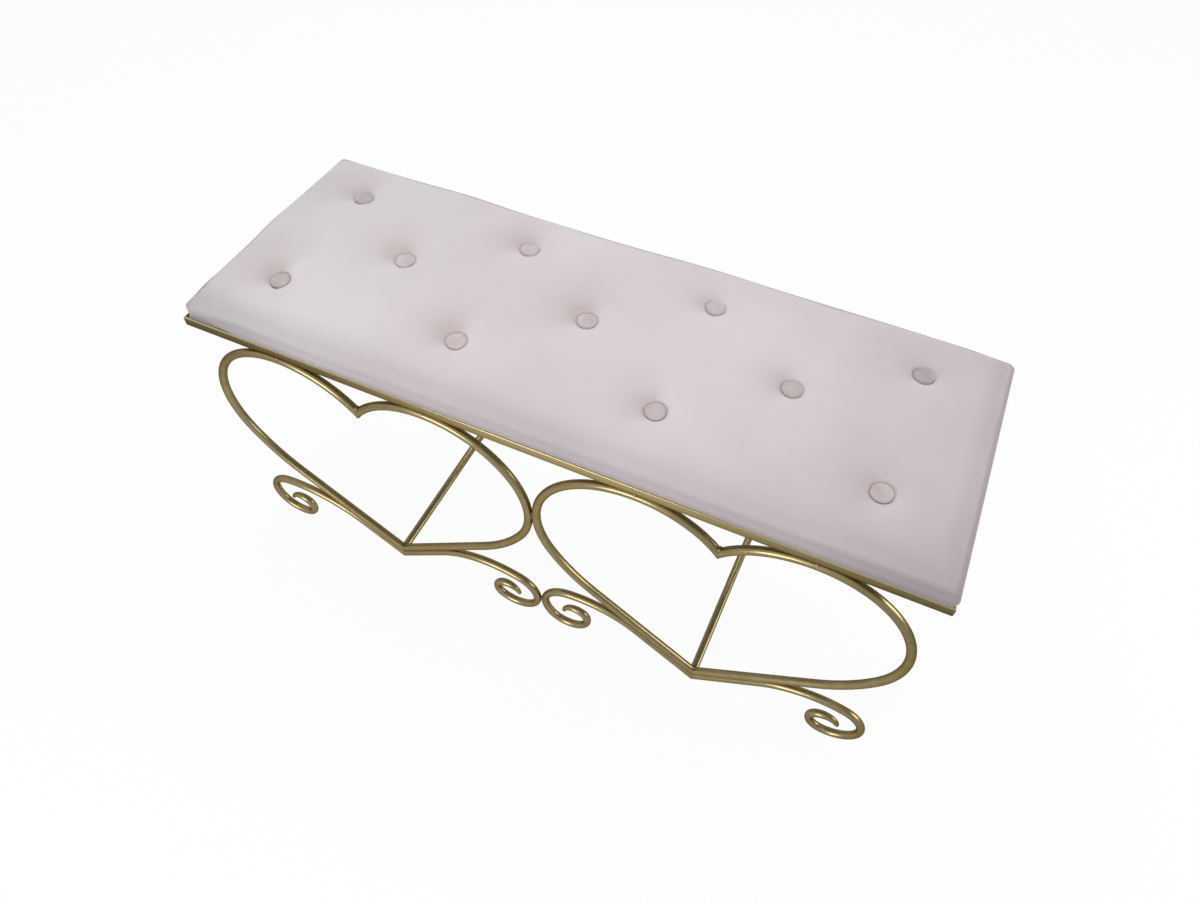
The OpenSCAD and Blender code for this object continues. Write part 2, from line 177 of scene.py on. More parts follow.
def uneven(name):
    """A shader group: soft uneven patches of a finish, from Low to High, at a scale per metre."""
    group = bpy.data.node_groups.new(name, "ShaderNodeTree")
    face = group.interface
    for socket, value in (("Scale", 40.0), ("Detail", 3.0), ("Low", 0.0), ("High", 1.0)):
        face.new_socket(name=socket, in_out="INPUT", socket_type="NodeSocketFloat").default_value = value
    face.new_socket(name="Value", in_out="OUTPUT", socket_type="NodeSocketFloat")
    given = put(group, "NodeGroupInput").outputs
    where = put(group, "ShaderNodeTexCoord").outputs["Object"]
    clouds = put(group, "ShaderNodeTexNoise", {"Vector": where, "Scale": given["Scale"], "Detail": given["Detail"]})
    spread = ramp(group, clouds.outputs["Fac"], 0.32, 0.68, given["Low"], given["High"])
    put(group, "NodeGroupOutput", {"Value": spread})
    return group


uneven_finish = uneven("uneven_finish")


def patches(tree, scale, low, high, detail=3.0):
    """Places the uneven finish in a material with its own values."""
    item = tree.nodes.new("ShaderNodeGroup")
    item.node_tree = uneven_finish
    for socket, value in (("Scale", scale), ("Detail", detail), ("Low", low), ("High", high)):
        item.inputs[socket].default_value = value
    return item.outputs["Value"]


def principled(name):
    """A new material with one Principled shader, and its node tree."""
    material = bpy.data.materials.new(name)
    material.use_nodes = True
    return material, material.node_tree, material.node_tree.nodes["Principled BSDF"]


def mixed(tree, amount, under, over, blend="MIX"):
    """Lays one colour over another by an amount. Each is a tone, or comes from other nodes."""
    tones = [tone if isinstance(tone, bpy.types.NodeSocket) else (*tone, 1) for tone in (under, over)]
    return put(tree, "ShaderNodeMix", {0: amount, 6: tones[0], 7: tones[1]}, data_type="RGBA",
               blend_type=blend).outputs[2]


def roughened(tree, shader, height, strength, distance):
    """Gives a shader its fine relief."""
    bump = put(tree, "ShaderNodeBump", {"Height": height, "Strength": strength, "Distance": distance})
    tree.links.new(bump.outputs[0], shader.inputs["Normal"])


def sprayed_gold(name, darker, lighter):
    """Satin gold spray with a fine grain: its material, tree, shader and mottled colour."""
    paint, tree, shader = principled(name)
    shader.inputs["Metallic"].default_value = 0.92
    shader.inputs["Specular Tint"].default_value = (0.36, 0.30, 0.18, 1)
    shader.inputs["Coat Weight"].default_value = 0.15
    shader.inputs["Coat Roughness"].default_value = 0.17
    tree.links.new(patches(tree, 90, 0.23, 0.29), shader.inputs["Roughness"])
    roughened(tree, shader, patches(tree, 900, 0, 1, 1.0), 0.05, 0.00002)
    return paint, tree, shader, mixed(tree, patches(tree, 55, 0, 1), darker, lighter)


gold_paint, gold_tree, gold, gold_colour = sprayed_gold("gold_paint", (0.250, 0.198, 0.093), (0.298, 0.235, 0.113))
gold_tree.links.new(gold_colour, gold.inputs["Base Color"])
bend_step, run_step = 3.5, 0.03
tip_domes = ((0.86, 0.40), (0.5, 0.30), (0.2, 0.08))


def verts_of(geom):
    """The vertices among what an operator hands back."""
    return [v for v in geom if isinstance(v, bmesh.types.BMVert)]


def bent_bar(moves, radius, sides=24, tip_length=0.0, tip_radius=0.0):
    """A round bar bent in the XY plane by runs (length, 0) and bends (radius, degrees), closed at its ends."""
    bar = bmesh.new()
    bmesh.ops.create_circle(bar, segments=sides, radius=radius, matrix=Matrix.Rotation(math.radians(90), 4, "Y"))
    ring = bar.verts[:] + bar.edges[:]
    rings = [(0.0, Vector(), bar.verts[:])]
    at, heading, travelled = Vector(), 0.0, 0.0
    for size, turn in moves:
        steps = max(1, math.ceil(abs(turn) / bend_step) if turn else math.ceil(size / run_step))
        for step in range(steps):
            ahead = Vector((math.cos(heading), math.sin(heading), 0))
            if turn:
                centre = at + Vector((-ahead.y, ahead.x, 0)) * size * math.copysign(1, turn)
                angle = math.radians(turn) / steps
                ring = bmesh.ops.spin(bar, geom=ring, cent=centre, axis=(0, 0, 1), angle=angle, steps=1,
                                      use_duplicate=False)["geom_last"]
                at = centre + Matrix.Rotation(angle, 3, "Z") @ (at - centre)
                heading += angle
                travelled += abs(angle) * size
            else:
                ring = bmesh.ops.spin(bar, geom=ring, cent=at, axis=(0, 0, 1), angle=0, steps=1,
                                      dvec=ahead * size / steps, use_duplicate=False)["geom_last"]
                at = at + ahead * size / steps
                travelled += size / steps
            rings.append((travelled, at.copy(), verts_of(ring)))
    for reached, middle, verts in rings:
        near_end = 1 - (travelled - reached) / tip_length if tip_length else 0
        if near_end > 0:
            slim = 1 - (1 - tip_radius / radius) * near_end ** 1.6
            bmesh.ops.scale(bar, verts=verts, vec=(slim, slim, slim), space=Matrix.Translation(-middle))
    if tip_length:
        ahead = Vector((math.cos(heading), math.sin(heading), 0))
        for slope, reach in tip_domes:
            ring = bmesh.ops.spin(bar, geom=ring, cent=at, axis=(0, 0, 1), angle=0, steps=1,
                                  dvec=ahead * tip_radius * reach, use_duplicate=False)["geom_last"]
            at = at + ahead * tip_radius * reach
            bmesh.ops.scale(bar, verts=verts_of(ring), vec=(slope, slope, slope), space=Matrix.Translation(-at))
    bmesh.ops.edgeloop_fill(bar, edges=[e for e in bar.edges if e.is_boundary])
    return bar


def cut_flat(mesh, point, normal):
    """Takes off what lies behind a plane and closes the cut."""
    cut = bmesh.ops.bisect_plane(mesh, geom=mesh.verts[:] + mesh.edges[:] + mesh.faces[:], dist=1e-6,
                                 plane_co=point, plane_no=normal, clear_inner=True)["geom_cut"]
    edges = [e for e in cut if isinstance(e, bmesh.types.BMEdge)]
    if edges:
        bmesh.ops.edgeloop_fill(mesh, edges=edges)


def piece(name, mesh, material, stands_for=(), sharp=40):
    """Turns a finished mesh into a named piece of the bench that rides on its one body."""
    bmesh.ops.remove_doubles(mesh, verts=mesh.verts[:], dist=1e-7)
    bmesh.ops.recalc_face_normals(mesh, faces=mesh.faces[:])
    thing = bpy.data.objects.new(name, bpy.data.meshes.new(name))
    mesh.to_mesh(thing.data)
    mesh.free()
    scene.collection.objects.link(thing)
    thing.data.shade_smooth()
    thing.data.set_sharp_from_angle(angle=math.radians(sharp))
    thing.data.materials.append(material)
    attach(thing, "root")
    if stands_for:
        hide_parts(*stands_for)
    return thing


def turned(degrees, axis):
    """A turn by degrees about one axis."""
    return Matrix.Rotation(math.radians(degrees), 4, axis)


def stand_up(mesh, height, lean=0.0):
    """Stands a flat bent rod up on the slope of its arm, with a short run past the middle to cut off."""
    bmesh.ops.transform(mesh, verts=mesh.verts[:], matrix=Matrix.Translation((0, 0, height)) @ turned(90, "X")
                        @ turned(arm_slope, "Z") @ turned(lean, "X") @ Matrix.Translation((-mitre_reach, 0, 0)))
    cut_flat(mesh, (0, 0, 0), (1, 0, 0))


def set_in_side(mesh, side, half):
    """Moves a half, drawn right of its heart's middle, to its place in one side of the bench."""
    centre_x = (-1 if half < 2 else 1) * heart_pitch / 2
    flip = -1 if half % 2 == 0 else 1
    bmesh.ops.transform(mesh, verts=mesh.verts[:], matrix=Matrix.Translation((centre_x, (-1, 1)[side] * side_y, 0))
                        @ Matrix.Diagonal((flip, 1, 1, 1)))


for side in (0, 1):
    for half in range(4):
        heart = bent_bar([(arm_run + mitre_reach, 0), flare_bend, lobe_bend], rod_radius)
        stand_up(heart, heart_z)
        set_in_side(heart, side, half)
        node = f"heart_{side_names[side]}_{half_names[half]}"
        piece(f"rod_{node}", heart, gold_paint, [node])

# The scroll feet: under each heart two rods of the same steel leave its point, run along its arms and curl in,
# bent by hand round a bar, so the four of a side all differ a little. Their tips are hammered slim and round.
foot_z = 0.00577
foot_moves = [
    [(0.0828, 0), (0.187, -44), (0.040, -190), (0.0215, -106), (0.019, -124)],
    [(0.1013, 0), (0.153, -53), (0.040, -194), (0.0205, -104), (0.0195, -119)],
    [(0.1151, 0), (0.137, -48), (0.050, -115), (0.033, -148), (0.019, -167)],
    [(0.1176, 0), (0.136, -51), (0.042, -171), (0.025, -84), (0.020, -158)],
]
foot_leans = [1, 1.3, 0, 0.7]
foot_tips = [(0.0412, 0.0031), (0.0363, 0.0032), (0.0489, 0.0034), (0.0366, 0.0034)]
for side in (0, 1):
    for half in range(4):
        run, *bends = foot_moves[half]
        length, slim = foot_tips[half]
        foot = bent_bar([(run[0] + mitre_reach, 0), *bends], rod_radius, 24, length, slim)
        stand_up(foot, foot_z, (-1, 1)[side] * foot_leans[half])
        cut_flat(foot, (0, 0, 0), (0, 0, 1))
        set_in_side(foot, side, half)
        node = f"foot_{side_names[side]}_{half_names[half]}"
        piece(f"rod_{node}", foot, gold_paint, [node])

# The stretchers: two straight rods of the same steel join the points of the front and back hearts. They
# are butted against the rods and welded all round.
stretcher_z, butt_gap = 0.0188, 0.00005
for name, side in (("left", -1), ("right", 1)):
    reach = side_y - rod_radius - butt_gap
    stretcher = bent_bar([(2 * reach, 0)], rod_radius)
    start = Matrix.Translation((side * heart_pitch / 2, -reach, stretcher_z))
    bmesh.ops.transform(stretcher, verts=stretcher.verts[:], matrix=start @ turned(90, "Z"))
    piece(f"rod_stretcher_{name}", stretcher, gold_paint, [f"stretcher_{name}"])

# The seat frame: four lengths of steel angle, mitred and welded at the corners, with their flat legs turned
# in to carry the board and their upright legs round the cushion. Its gold carries a painted highlight along the
# upper edge and a painted reflection that lightens the long rails towards their middle.
angle_h, angle_w, angle_t = 0.014, 0.015, 0.003
rolled_edge, soft_edge = 0.0026, 0.0005
frame_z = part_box("rail_front")[0][2]
frame_top = frame_z + angle_h
half_length, half_depth = 0.5, 0.18


def eased(mesh, edges, offset, segments):
    """Rounds edges of a mesh by a bevel."""
    bmesh.ops.bevel(mesh, geom=edges, offset=offset, offset_type="OFFSET", segments=segments, profile=0.5,
                    affect="EDGES", material=-1, clamp_overlap=True)


def angle_rail(length, distance):
    """One side of the frame along X, its outer face towards -Y."""
    rail = bmesh.new()
    profile = [(0, 0), (angle_w, 0), (angle_w, angle_t), (angle_t, angle_t), (angle_t, angle_h), (0, angle_h)]
    corners = [rail.verts.new((-length / 2, y - distance, z + frame_z)) for y, z in profile]
    outline = [rail.edges.new(pair) for pair in zip(corners, corners[1:] + corners[:1])]
    face = bmesh.ops.contextual_create(rail, geom=outline)["faces"]
    drawn = bmesh.ops.extrude_face_region(rail, geom=face)["geom"]
    bmesh.ops.translate(rail, verts=verts_of(drawn), vec=(length, 0, 0))
    for end in (-1, 1):
        cut_flat(rail, (end * length / 2, -distance, 0), Vector((-end, -1, 0)).normalized())
    bmesh.ops.recalc_face_normals(rail, faces=rail.faces[:])
    eased(rail, [e for e in rail.edges if all(v.co.z > frame_top - 1e-5 and v.co.y < 1e-5 - distance
                                              for v in e.verts)], rolled_edge, 6)
    eased(rail, [e for e in rail.edges if e.calc_face_angle(0) > math.radians(40)], soft_edge, 2)
    return rail


frame_paint, frame_tree, frame_gold, frame_colour = sprayed_gold("frame_gold_paint", (0.186, 0.146, 0.069),
                                                                 (0.214, 0.168, 0.080))
on_frame = put(frame_tree, "ShaderNodeSeparateXYZ",
               {0: put(frame_tree, "ShaderNodeTexCoord").outputs["Object"]}).outputs
# Painted reflection: the gold of the long rails is lighter towards their middle, below the upper edge.
reflection_middle_x = 0.08
from_reflection_middle = reckon(frame_tree, "ABSOLUTE", reckon(frame_tree, "SUBTRACT", on_frame["X"], reflection_middle_x))
# Painted highlight: a pale gold line along the rounded upper edge, faint near the middle of the long rails and
# strong towards their ends and on the short rails.
painted_edge_highlight = ramp(frame_tree, on_frame["Z"], frame_top - 0.0024, frame_top - 0.0008)
edge_highlight_towards_ends = ramp(frame_tree, from_reflection_middle, 0.08, 0.26, 0.2, 0.95)
painted_middle_reflection = reckon(frame_tree, "MULTIPLY", ramp(frame_tree, from_reflection_middle, 0.4, 0.05, smooth=True),
                     reckon(frame_tree, "SUBTRACT", 1.0, painted_edge_highlight))
frame_colour = mixed(frame_tree, painted_middle_reflection, frame_colour, (0.385, 0.302, 0.145))
frame_colour = mixed(frame_tree, reckon(frame_tree, "MULTIPLY", painted_edge_highlight, edge_highlight_towards_ends), frame_colour,
                     (0.49, 0.42, 0.28))
frame_tree.links.new(frame_colour, frame_gold.inputs["Base Color"])
for index, name in enumerate(["rail_front", "rail_right", "rail_back", "rail_left"]):
    length, distance = ((2 * half_length, half_depth), (2 * half_depth, half_length))[index % 2]
    rail = angle_rail(length, distance)
    bmesh.ops.rotate(rail, verts=rail.verts[:], cent=(0, 0, 0), matrix=turned(90 * index, "Z").to_3x3())
    piece(f"angle_{name}", rail, frame_paint, [name], sharp=60)

# The weld beads: short runs of filler left where lobes meet the seat frame, hearts and scrolls touch each
# other, arms lie side by side, and stretchers meet the points of the hearts. They carry the same gold spray.
beads = bmesh.new()
heart_touch_z, scroll_touch_z, notch_z = heart_z + 0.2586, 0.050, 0.3715
lobe_top_x = half_width - lobe_bend[0]
top_beads = ((0.0042, 0.017), (-0.0030, 0.007))
arm_bead_places, beside_arm = (0.030, 0.085), (0.0036, 0.0027, 0.0075)


def add_to(group, part):
    """Adds one small mesh to a group of like ones."""
    carrier = bpy.data.meshes.new("carrier")
    part.to_mesh(carrier)
    part.free()
    group.from_mesh(carrier)
    bpy.data.meshes.remove(carrier)


def weld_bead(place, size, tilt=0.0):
    """One lumpy drop of filler, size along X, Y and Z, tilted about Y."""
    drop = bmesh.new()
    bmesh.ops.create_uvsphere(drop, u_segments=14, v_segments=8, radius=1)
    for vert in drop.verts:
        vert.co *= 1 + 0.14 * noise.noise(vert.co * 1.9 + Vector(place) * 90)
    bmesh.ops.transform(drop, verts=drop.verts[:], matrix=Matrix.Translation(place) @ Matrix.Rotation(tilt, 4, "Y")
                        @ Matrix.Diagonal((size[0] / 2, size[1] / 2, size[2] / 2, 1)))
    add_to(beads, drop)


for front in (-1, 1):
    y = front * side_y
    weld_bead((0, y, heart_touch_z), (0.0038, 0.0080, 0.017))
    weld_bead((0.0016, y, scroll_touch_z), (0.0044, 0.0070, 0.0095))
    for heart_x in (-heart_pitch / 2, heart_pitch / 2):
        weld_bead((heart_x, y, stretcher_z + 0.001), (0.0135, 0.009, 0.0035))
        weld_bead((heart_x, y, notch_z), (0.0060, 0.0090, 0.0080))
        for lobe in (-1, 1):
            for inset, length in top_beads:
                weld_bead((heart_x + lobe * lobe_top_x, y - front * inset, frame_z - 0.0012),
                          (length, 0.005, 0.0042))
            slope = math.radians(arm_slope) * lobe
            for along in arm_bead_places:
                weld_bead((heart_x + lobe * (along * math.cos(slope) + beside_arm[0]), y - front * beside_arm[1],
                           heart_z - beside_arm[2] + along * abs(math.sin(slope))), (0.012, 0.0042, 0.0042), -slope)
piece("weld_beads", beads, gold_paint)

# The seat screws: ten pan head wood screws of zinc plated steel with a cross recess. They go up through the
# flat legs of the angle into the board and hold the upholstered seat down.
zinc_steel, zinc_tree, zinc = principled("zinc_steel")
zinc.inputs["Metallic"].default_value = 1.0
zinc_tree.links.new(mixed(zinc_tree, patches(zinc_tree, 260, 0, 1), (0.42, 0.42, 0.41), (0.60, 0.60, 0.58)),
                    zinc.inputs["Base Color"])
zinc_tree.links.new(patches(zinc_tree, 500, 0.28, 0.45), zinc.inputs["Roughness"])
screw_inset = 0.011
screw_places = [(x * heart_pitch / 2, y * (half_depth - screw_inset)) for x in (-1, 0, 1) for y in (-1, 1)]
screw_places += [(x * (half_length - screw_inset), y * 0.070) for x in (-1, 1) for y in (-1, 1)]
recess_in_mm = [(0.4, 0.4), (1.5, 0.4), (1.5, -0.4), (0.4, -0.4), (0.4, -1.5), (-0.4, -1.5), (-0.4, -0.4),
                (-1.5, -0.4), (-1.5, 0.4), (-0.4, 0.4), (-0.4, 1.5), (0.4, 1.5)]
face_z, face_radius, face_edge_z, recess_depth = -0.0018, 0.0021, -0.0017, 0.0012
screw_rings = [(0.0029, -0.0012), (0.00325, -0.0004), (0.00325, 0), (0.00175, 0), (0.00175, 0.0075),
               (0.0003, 0.0100)]
screws = bmesh.new()
for x, y in screw_places:
    screw = bmesh.new()
    corners = [screw.verts.new((a / 1000, b / 1000, face_z)) for a, b in recess_in_mm]
    outline = [screw.edges.new(pair) for pair in zip(corners, corners[1:] + corners[:1])]
    bmesh.ops.subdivide_edges(screw, edges=outline, cuts=1)
    mouth = screw.edges[:]
    face = bmesh.ops.contextual_create(screw, geom=mouth)["faces"]
    deep = verts_of(bmesh.ops.extrude_face_region(screw, geom=face)["geom"])
    bmesh.ops.scale(screw, verts=deep, vec=(0.7, 0.7, 1))
    bmesh.ops.translate(screw, verts=deep, vec=(0, 0, recess_depth))
    bmesh.ops.delete(screw, geom=face, context="FACES_ONLY")
    rim = bmesh.ops.create_circle(screw, segments=24, radius=face_radius,
                                  matrix=Matrix.Translation((0, 0, face_edge_z)))["verts"]
    ring = [e for e in screw.edges if all(v in rim for v in e.verts)]
    bmesh.ops.bridge_loops(screw, edges=mouth + ring)
    reached, height = face_radius, face_edge_z
    for radius, z in screw_rings:
        drawn = bmesh.ops.extrude_edge_only(screw, edges=ring)["geom"]
        ring = [e for e in drawn if isinstance(e, bmesh.types.BMEdge)]
        bmesh.ops.scale(screw, verts=verts_of(drawn), vec=(radius / reached, radius / reached, 1))
        bmesh.ops.translate(screw, verts=verts_of(drawn), vec=(0, 0, z - height))
        reached, height = radius, z
    bmesh.ops.edgeloop_fill(screw, edges=ring)
    driven_to = 9 * x + 4 * y
    bmesh.ops.transform(screw, verts=screw.verts[:], matrix=Matrix.Translation((x, y, frame_z))
                        @ Matrix.Rotation(driven_to, 4, "Z"))
    add_to(screws, screw)
piece("pan_head_screws", screws, zinc_steel, ["seat_screws"])

# The seat board and the slabs on it: a sheet of nine millimetre plywood, a firm slab of foam and a smaller
# soft one that lifts the middle. The board is drilled for the tufting twine and nothing of it shows.
plywood, ply_tree, ply = principled("plywood")
ply_place = put(ply_tree, "ShaderNodeTexCoord").outputs["Object"]
ply_stretch = put(ply_tree, "ShaderNodeMapping", {"Vector": ply_place, "Scale": (3, 60, 900)}).outputs[0]
ply_grain = put(ply_tree, "ShaderNodeTexNoise", {"Vector": ply_stretch, "Scale": 1.0, "Detail": 5.0}).outputs["Fac"]
ply_tree.links.new(mixed(ply_tree, ply_grain, (0.36, 0.22, 0.11), (0.66, 0.48, 0.29)), ply.inputs["Base Color"])
ply.inputs["Roughness"].default_value = 0.65
roughened(ply_tree, ply, ply_grain, 0.3, 0.0004)


def foam(name, dark, light, pores):
    """Open celled foam between two tones, with so many pores a metre."""
    material, tree, shader = principled(name)
    tree.links.new(mixed(tree, patches(tree, 30, 0, 1), dark, light), shader.inputs["Base Color"])
    cells = put(tree, "ShaderNodeTexVoronoi", {"Vector": put(tree, "ShaderNodeTexCoord").outputs["Object"],
                                               "Scale": pores})
    roughened(tree, shader, cells.outputs["Distance"], 0.6, 0.0006)
    shader.inputs["Roughness"].default_value = 0.95
    return material


def dress(node, material):
    """Gives a CAD node its material."""
    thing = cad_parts[node]
    if not thing.material_slots:
        thing.data.materials.append(material)
    for holder in thing.material_slots:
        holder.material = material


dress("seat_board", plywood)
dress("firm_foam", foam("firm_foam_slab", (0.62, 0.52, 0.30), (0.74, 0.64, 0.40), 700))
dress("soft_foam", foam("soft_foam_slab", (0.78, 0.76, 0.70), (0.88, 0.86, 0.80), 1100))

# The tufting: waxed cotton twine goes from each button down through foam and board, and is knotted there
# against a steel washer in its recess. All of it is hidden by the dust cover.
cotton_twine, twine_tree, twine = principled("waxed_twine")
twine_place = put(twine_tree, "ShaderNodeTexCoord").outputs["Object"]
twine_turns = put(twine_tree, "ShaderNodeTexWave", {"Vector": twine_place, "Scale": 260.0, "Distortion": 1.5},
                  bands_direction="DIAGONAL").outputs["Fac"]
twine_tree.links.new(mixed(twine_tree, twine_turns, (0.52, 0.45, 0.33), (0.80, 0.74, 0.62)),
                     twine.inputs["Base Color"])
roughened(twine_tree, twine, twine_turns, 0.7, 0.0004)
twine.inputs["Roughness"].default_value = 0.6
dress("tuft_twines", cotton_twine)
dress("twine_washers", zinc_steel)

# The dust cover: a sheet of thin pale grey lining cloth, its edges turned under and stapled to the bottom of
# the board, inside the steel frame. It sags a little between its staples.
lining_cloth, lining_tree, lining = principled("lining_cloth")
lining_place = put(lining_tree, "ShaderNodeTexCoord").outputs["Object"]
lining_weave = put(lining_tree, "ShaderNodeTexBrick", {"Vector": lining_place, "Scale": 700.0, "Mortar Size": 0.12})
lining_tree.links.new(mixed(lining_tree, patches(lining_tree, 55, 0, 1), (0.375, 0.365, 0.335),
                            (0.415, 0.405, 0.375)), lining.inputs["Base Color"])
roughened(lining_tree, lining, lining_weave.outputs["Fac"], 0.5, 0.0002)
lining.inputs["Roughness"].default_value = 0.9
cloth_x, cloth_y, seat_z = 0.484, 0.164, frame_z + angle_t
held_border, hem_width, hem_depth = 0.05, 0.012, 0.0006
cloth = bmesh.new()
bmesh.ops.create_grid(cloth, x_segments=121, y_segments=41, size=1)
bmesh.ops.scale(cloth, verts=cloth.verts[:], vec=(cloth_x, cloth_y, 1))
for vert in cloth.verts:
    x, y = vert.co.x, vert.co.y
    inside = min(1.0, (cloth_x - abs(x)) / held_border) * min(1.0, (cloth_y - abs(y)) / held_border)
    ripple = noise.noise(Vector((x * 5, y * 9, 3.1))) + 0.4 * noise.noise(Vector((x * 19, y * 23, 7.7)))
    hem = hem_depth if inside and min(cloth_x - abs(x), cloth_y - abs(y)) < hem_width else 0
    vert.co.z = seat_z - 0.0003 - hem * 0.5 - inside * (0.0016 + 0.0011 * ripple)
bmesh.ops.solidify(cloth, geom=cloth.faces[:], thickness=0.0005)
dust_cover = piece("lining_sheet", cloth, lining_cloth, ["dust_cover"])

staples = bmesh.new()
staple_inset, staple_wire = 0.006, 0.00035
staple_bends = [(0.004, 0), (0.0007, 90), (0.0086, 0), (0.0007, 90), (0.004, 0)]
staple_places = [(0.445 * (i / 6 - 1), y * (cloth_y - staple_inset), 0) for i in range(13) for y in (-1, 1)]
staple_places += [(x * (cloth_x - staple_inset), y, 90) for y in (-0.11, -0.037, 0.037, 0.11) for x in (-1, 1)]
for x, y, turn in staple_places:
    staple = bent_bar(staple_bends, staple_wire, 6)
    bmesh.ops.transform(staple, verts=staple.verts[:], matrix=Matrix.Translation((x, y, seat_z - 0.0012))
                        @ turned(turn, "Z") @ turned(90, "X") @ turned(-90, "Z")
                        @ Matrix.Translation((-0.0047, -0.0050, 0)))
    add_to(staples, staple)
piece("cover_staples", staples, zinc_steel, sharp=60)

# The velvet cushion: short piled velvet drawn over the foam and stapled under the board, so that its top is
# crowned, its edge is rolled and soft, and eleven tufts pull it down. Its corners are folded, not piped.
tuft_pitch, row_pitch, row_shift = 0.264, 0.093, (-0.003, -0.002, 0.001)
tufts = [((i - (count - 1) / 2) * tuft_pitch + row_shift[row], (row - 1) * row_pitch)
         for row, count in ((0, 4), (1, 3), (2, 4)) for i in range(count)]
side_height, crown_height, roll_height, roll_width = 0.031, 0.020, 0.006, 0.015
tuft_radius, dent_depth, dent_width, under_button = 0.010, 0.0075, 0.024, 0.0042


def rise(value, start, end):
    """0 up to the start, 1 from the end on, and evenly between them."""
    return max(0, min(1, (value - start) / (end - start)))


def crown(x, y):
    """Height of the cushion's top without its tufts."""
    u, v = min(1, abs(x) / half_length), min(1, abs(y) / half_depth)
    edge = max(0, min(half_length - abs(x), half_depth - abs(y)) - 0.010)
    rolled = roll_height * (1 - math.exp(-edge / roll_width))
    return seat_z + side_height + crown_height * (1 - u ** 8) * (1 - v * v) + rolled


def tuft_pull(x, y):
    """Depth by which the nearest tuft pulls the top down: shallow round its button, deep under it."""
    far = min(math.hypot(x - tx, y - ty) for tx, ty in tufts)
    under = rise(far, 0.0145, 0.0105)
    dent = dent_depth * math.exp(-(max(0, far - tuft_radius) / dent_width) ** 2)
    return dent + under_button * under * under * (3 - 2 * under)


lap_low, lap_high = 0.0109, 0.0113
side_heights = [0, lap_low, lap_high, 0.016, 0.021, 0.026, 0.0295, side_height]
side_insets = [0.0034, 0.0034, 0.0011, 0.0010, 0.0011, 0.0022, 0.0060, 0.011]
left_folds = ((0.08, 0.2, 0.0034), (-0.72, 0.12, 0.0026))
back_folds = ((-0.56, 0.12, 0.0034), (0.19, 0.16, 0.0036), (0.6, 0.25, 0.0012))


def side_inset(height):
    """How far the wall stands in from the seat's edge at a height over the board."""
    for low, high, a, b in zip(side_heights, side_heights[1:], side_insets, side_insets[1:]):
        if height <= high:
            return a + (b - a) * (height - low) / (high - low)
    return side_insets[-1]


def pushed_out(at, folds):
    """How far soft folds push a wall out at a place along it. Each has its middle, width and depth."""
    return sum(depth * math.exp(-((at - middle) / width) ** 2) for middle, width, depth in folds)


def wall_reach(u, v, height):
    """How far the velvet stands out along X and Y, by its place round the seat and its height over the board."""
    inset, above = side_inset(height), 0 if height < lap_low + 0.0001 else 1
    tucked = rise(height, 0.024, 0.012) * max(0, (-v - 0.84) / 0.16)
    ends = -0.0004 - 0.0006 * (1 - v) / 2
    if u < 0:
        ends = 0.0038 * max(0, v) ** 2 - 0.0010 - 0.0018 * max(0, 1 - abs(v + 0.45) / 0.55) + 0.0050 * tucked
        ends -= pushed_out(v, left_folds)
    if u > 0:
        ends += 0.0011 * (v + 1.2) * rise(height, 0.013, 0.025)
    sides = 0.0050 * rise(-u, 0.83, 0.92) if v < 0 else -0.0014 - 0.0056 * max(0, u) * (1 - u)
    if v > 0:
        sides += 0.0040 * max(0, (u - 0.9) / 0.1)
        sides -= pushed_out(u, back_folds)
    return half_length - inset - above * ends, half_depth - inset - above * sides


def cushion_place(u, v, w):
    """Where a point of the cube from -1 to 1 lies on the cushion's form."""
    height = (w + 1) / 2 * side_height
    reach_x, reach_y = wall_reach(u, v, height)
    x, y, z = u * reach_x, v * reach_y, seat_z + height
    return Vector((x, y, z + (crown(x, y) - seat_z - side_height) * (1 if w > 0.999 else 0)))


form = bmesh.new()
bmesh.ops.create_cube(form, size=2)
bmesh.ops.subdivide_edges(form, edges=form.edges[:], cuts=47, use_grid_fill=True)
for vert in form.verts:
    vert.co = cushion_place(*vert.co)
cushion_form = bpy.data.meshes.new("cushion_form")
form.to_mesh(cushion_form)
form.free()
cushion = bpy.data.objects.new("cushion_form", cushion_form)
scene.collection.objects.link(cushion)


def applied(thing, name):
    """The object's mesh with its modifiers done, as a new object under a new name."""
    solved = bpy.data.meshes.new_from_object(thing.evaluated_get(bpy.context.evaluated_depsgraph_get()))
    fresh = bpy.data.objects.new(name, solved)
    scene.collection.objects.link(fresh)
    bpy.data.objects.remove(thing)
    return fresh


remesh = cushion.modifiers.new("remesh", "REMESH")
remesh.mode = "VOXEL"
remesh.voxel_size = 0.006
cushion = applied(cushion, "cushion_blank")

swell, last_frame = 0.0012, 20
held_below, held_above, held_round_tuft = 0.0035, 0.03, 0.009


def swollen(amount):
    """Moves the cushion's skin out by an amount, less so towards the board that holds it."""
    for vert, normal in [(v, v.normal.copy()) for v in cushion.data.vertices]:
        if vert.co.z > seat_z + 0.0015:
            vert.co += normal * amount * min(1, (vert.co.z - seat_z) / 0.012)


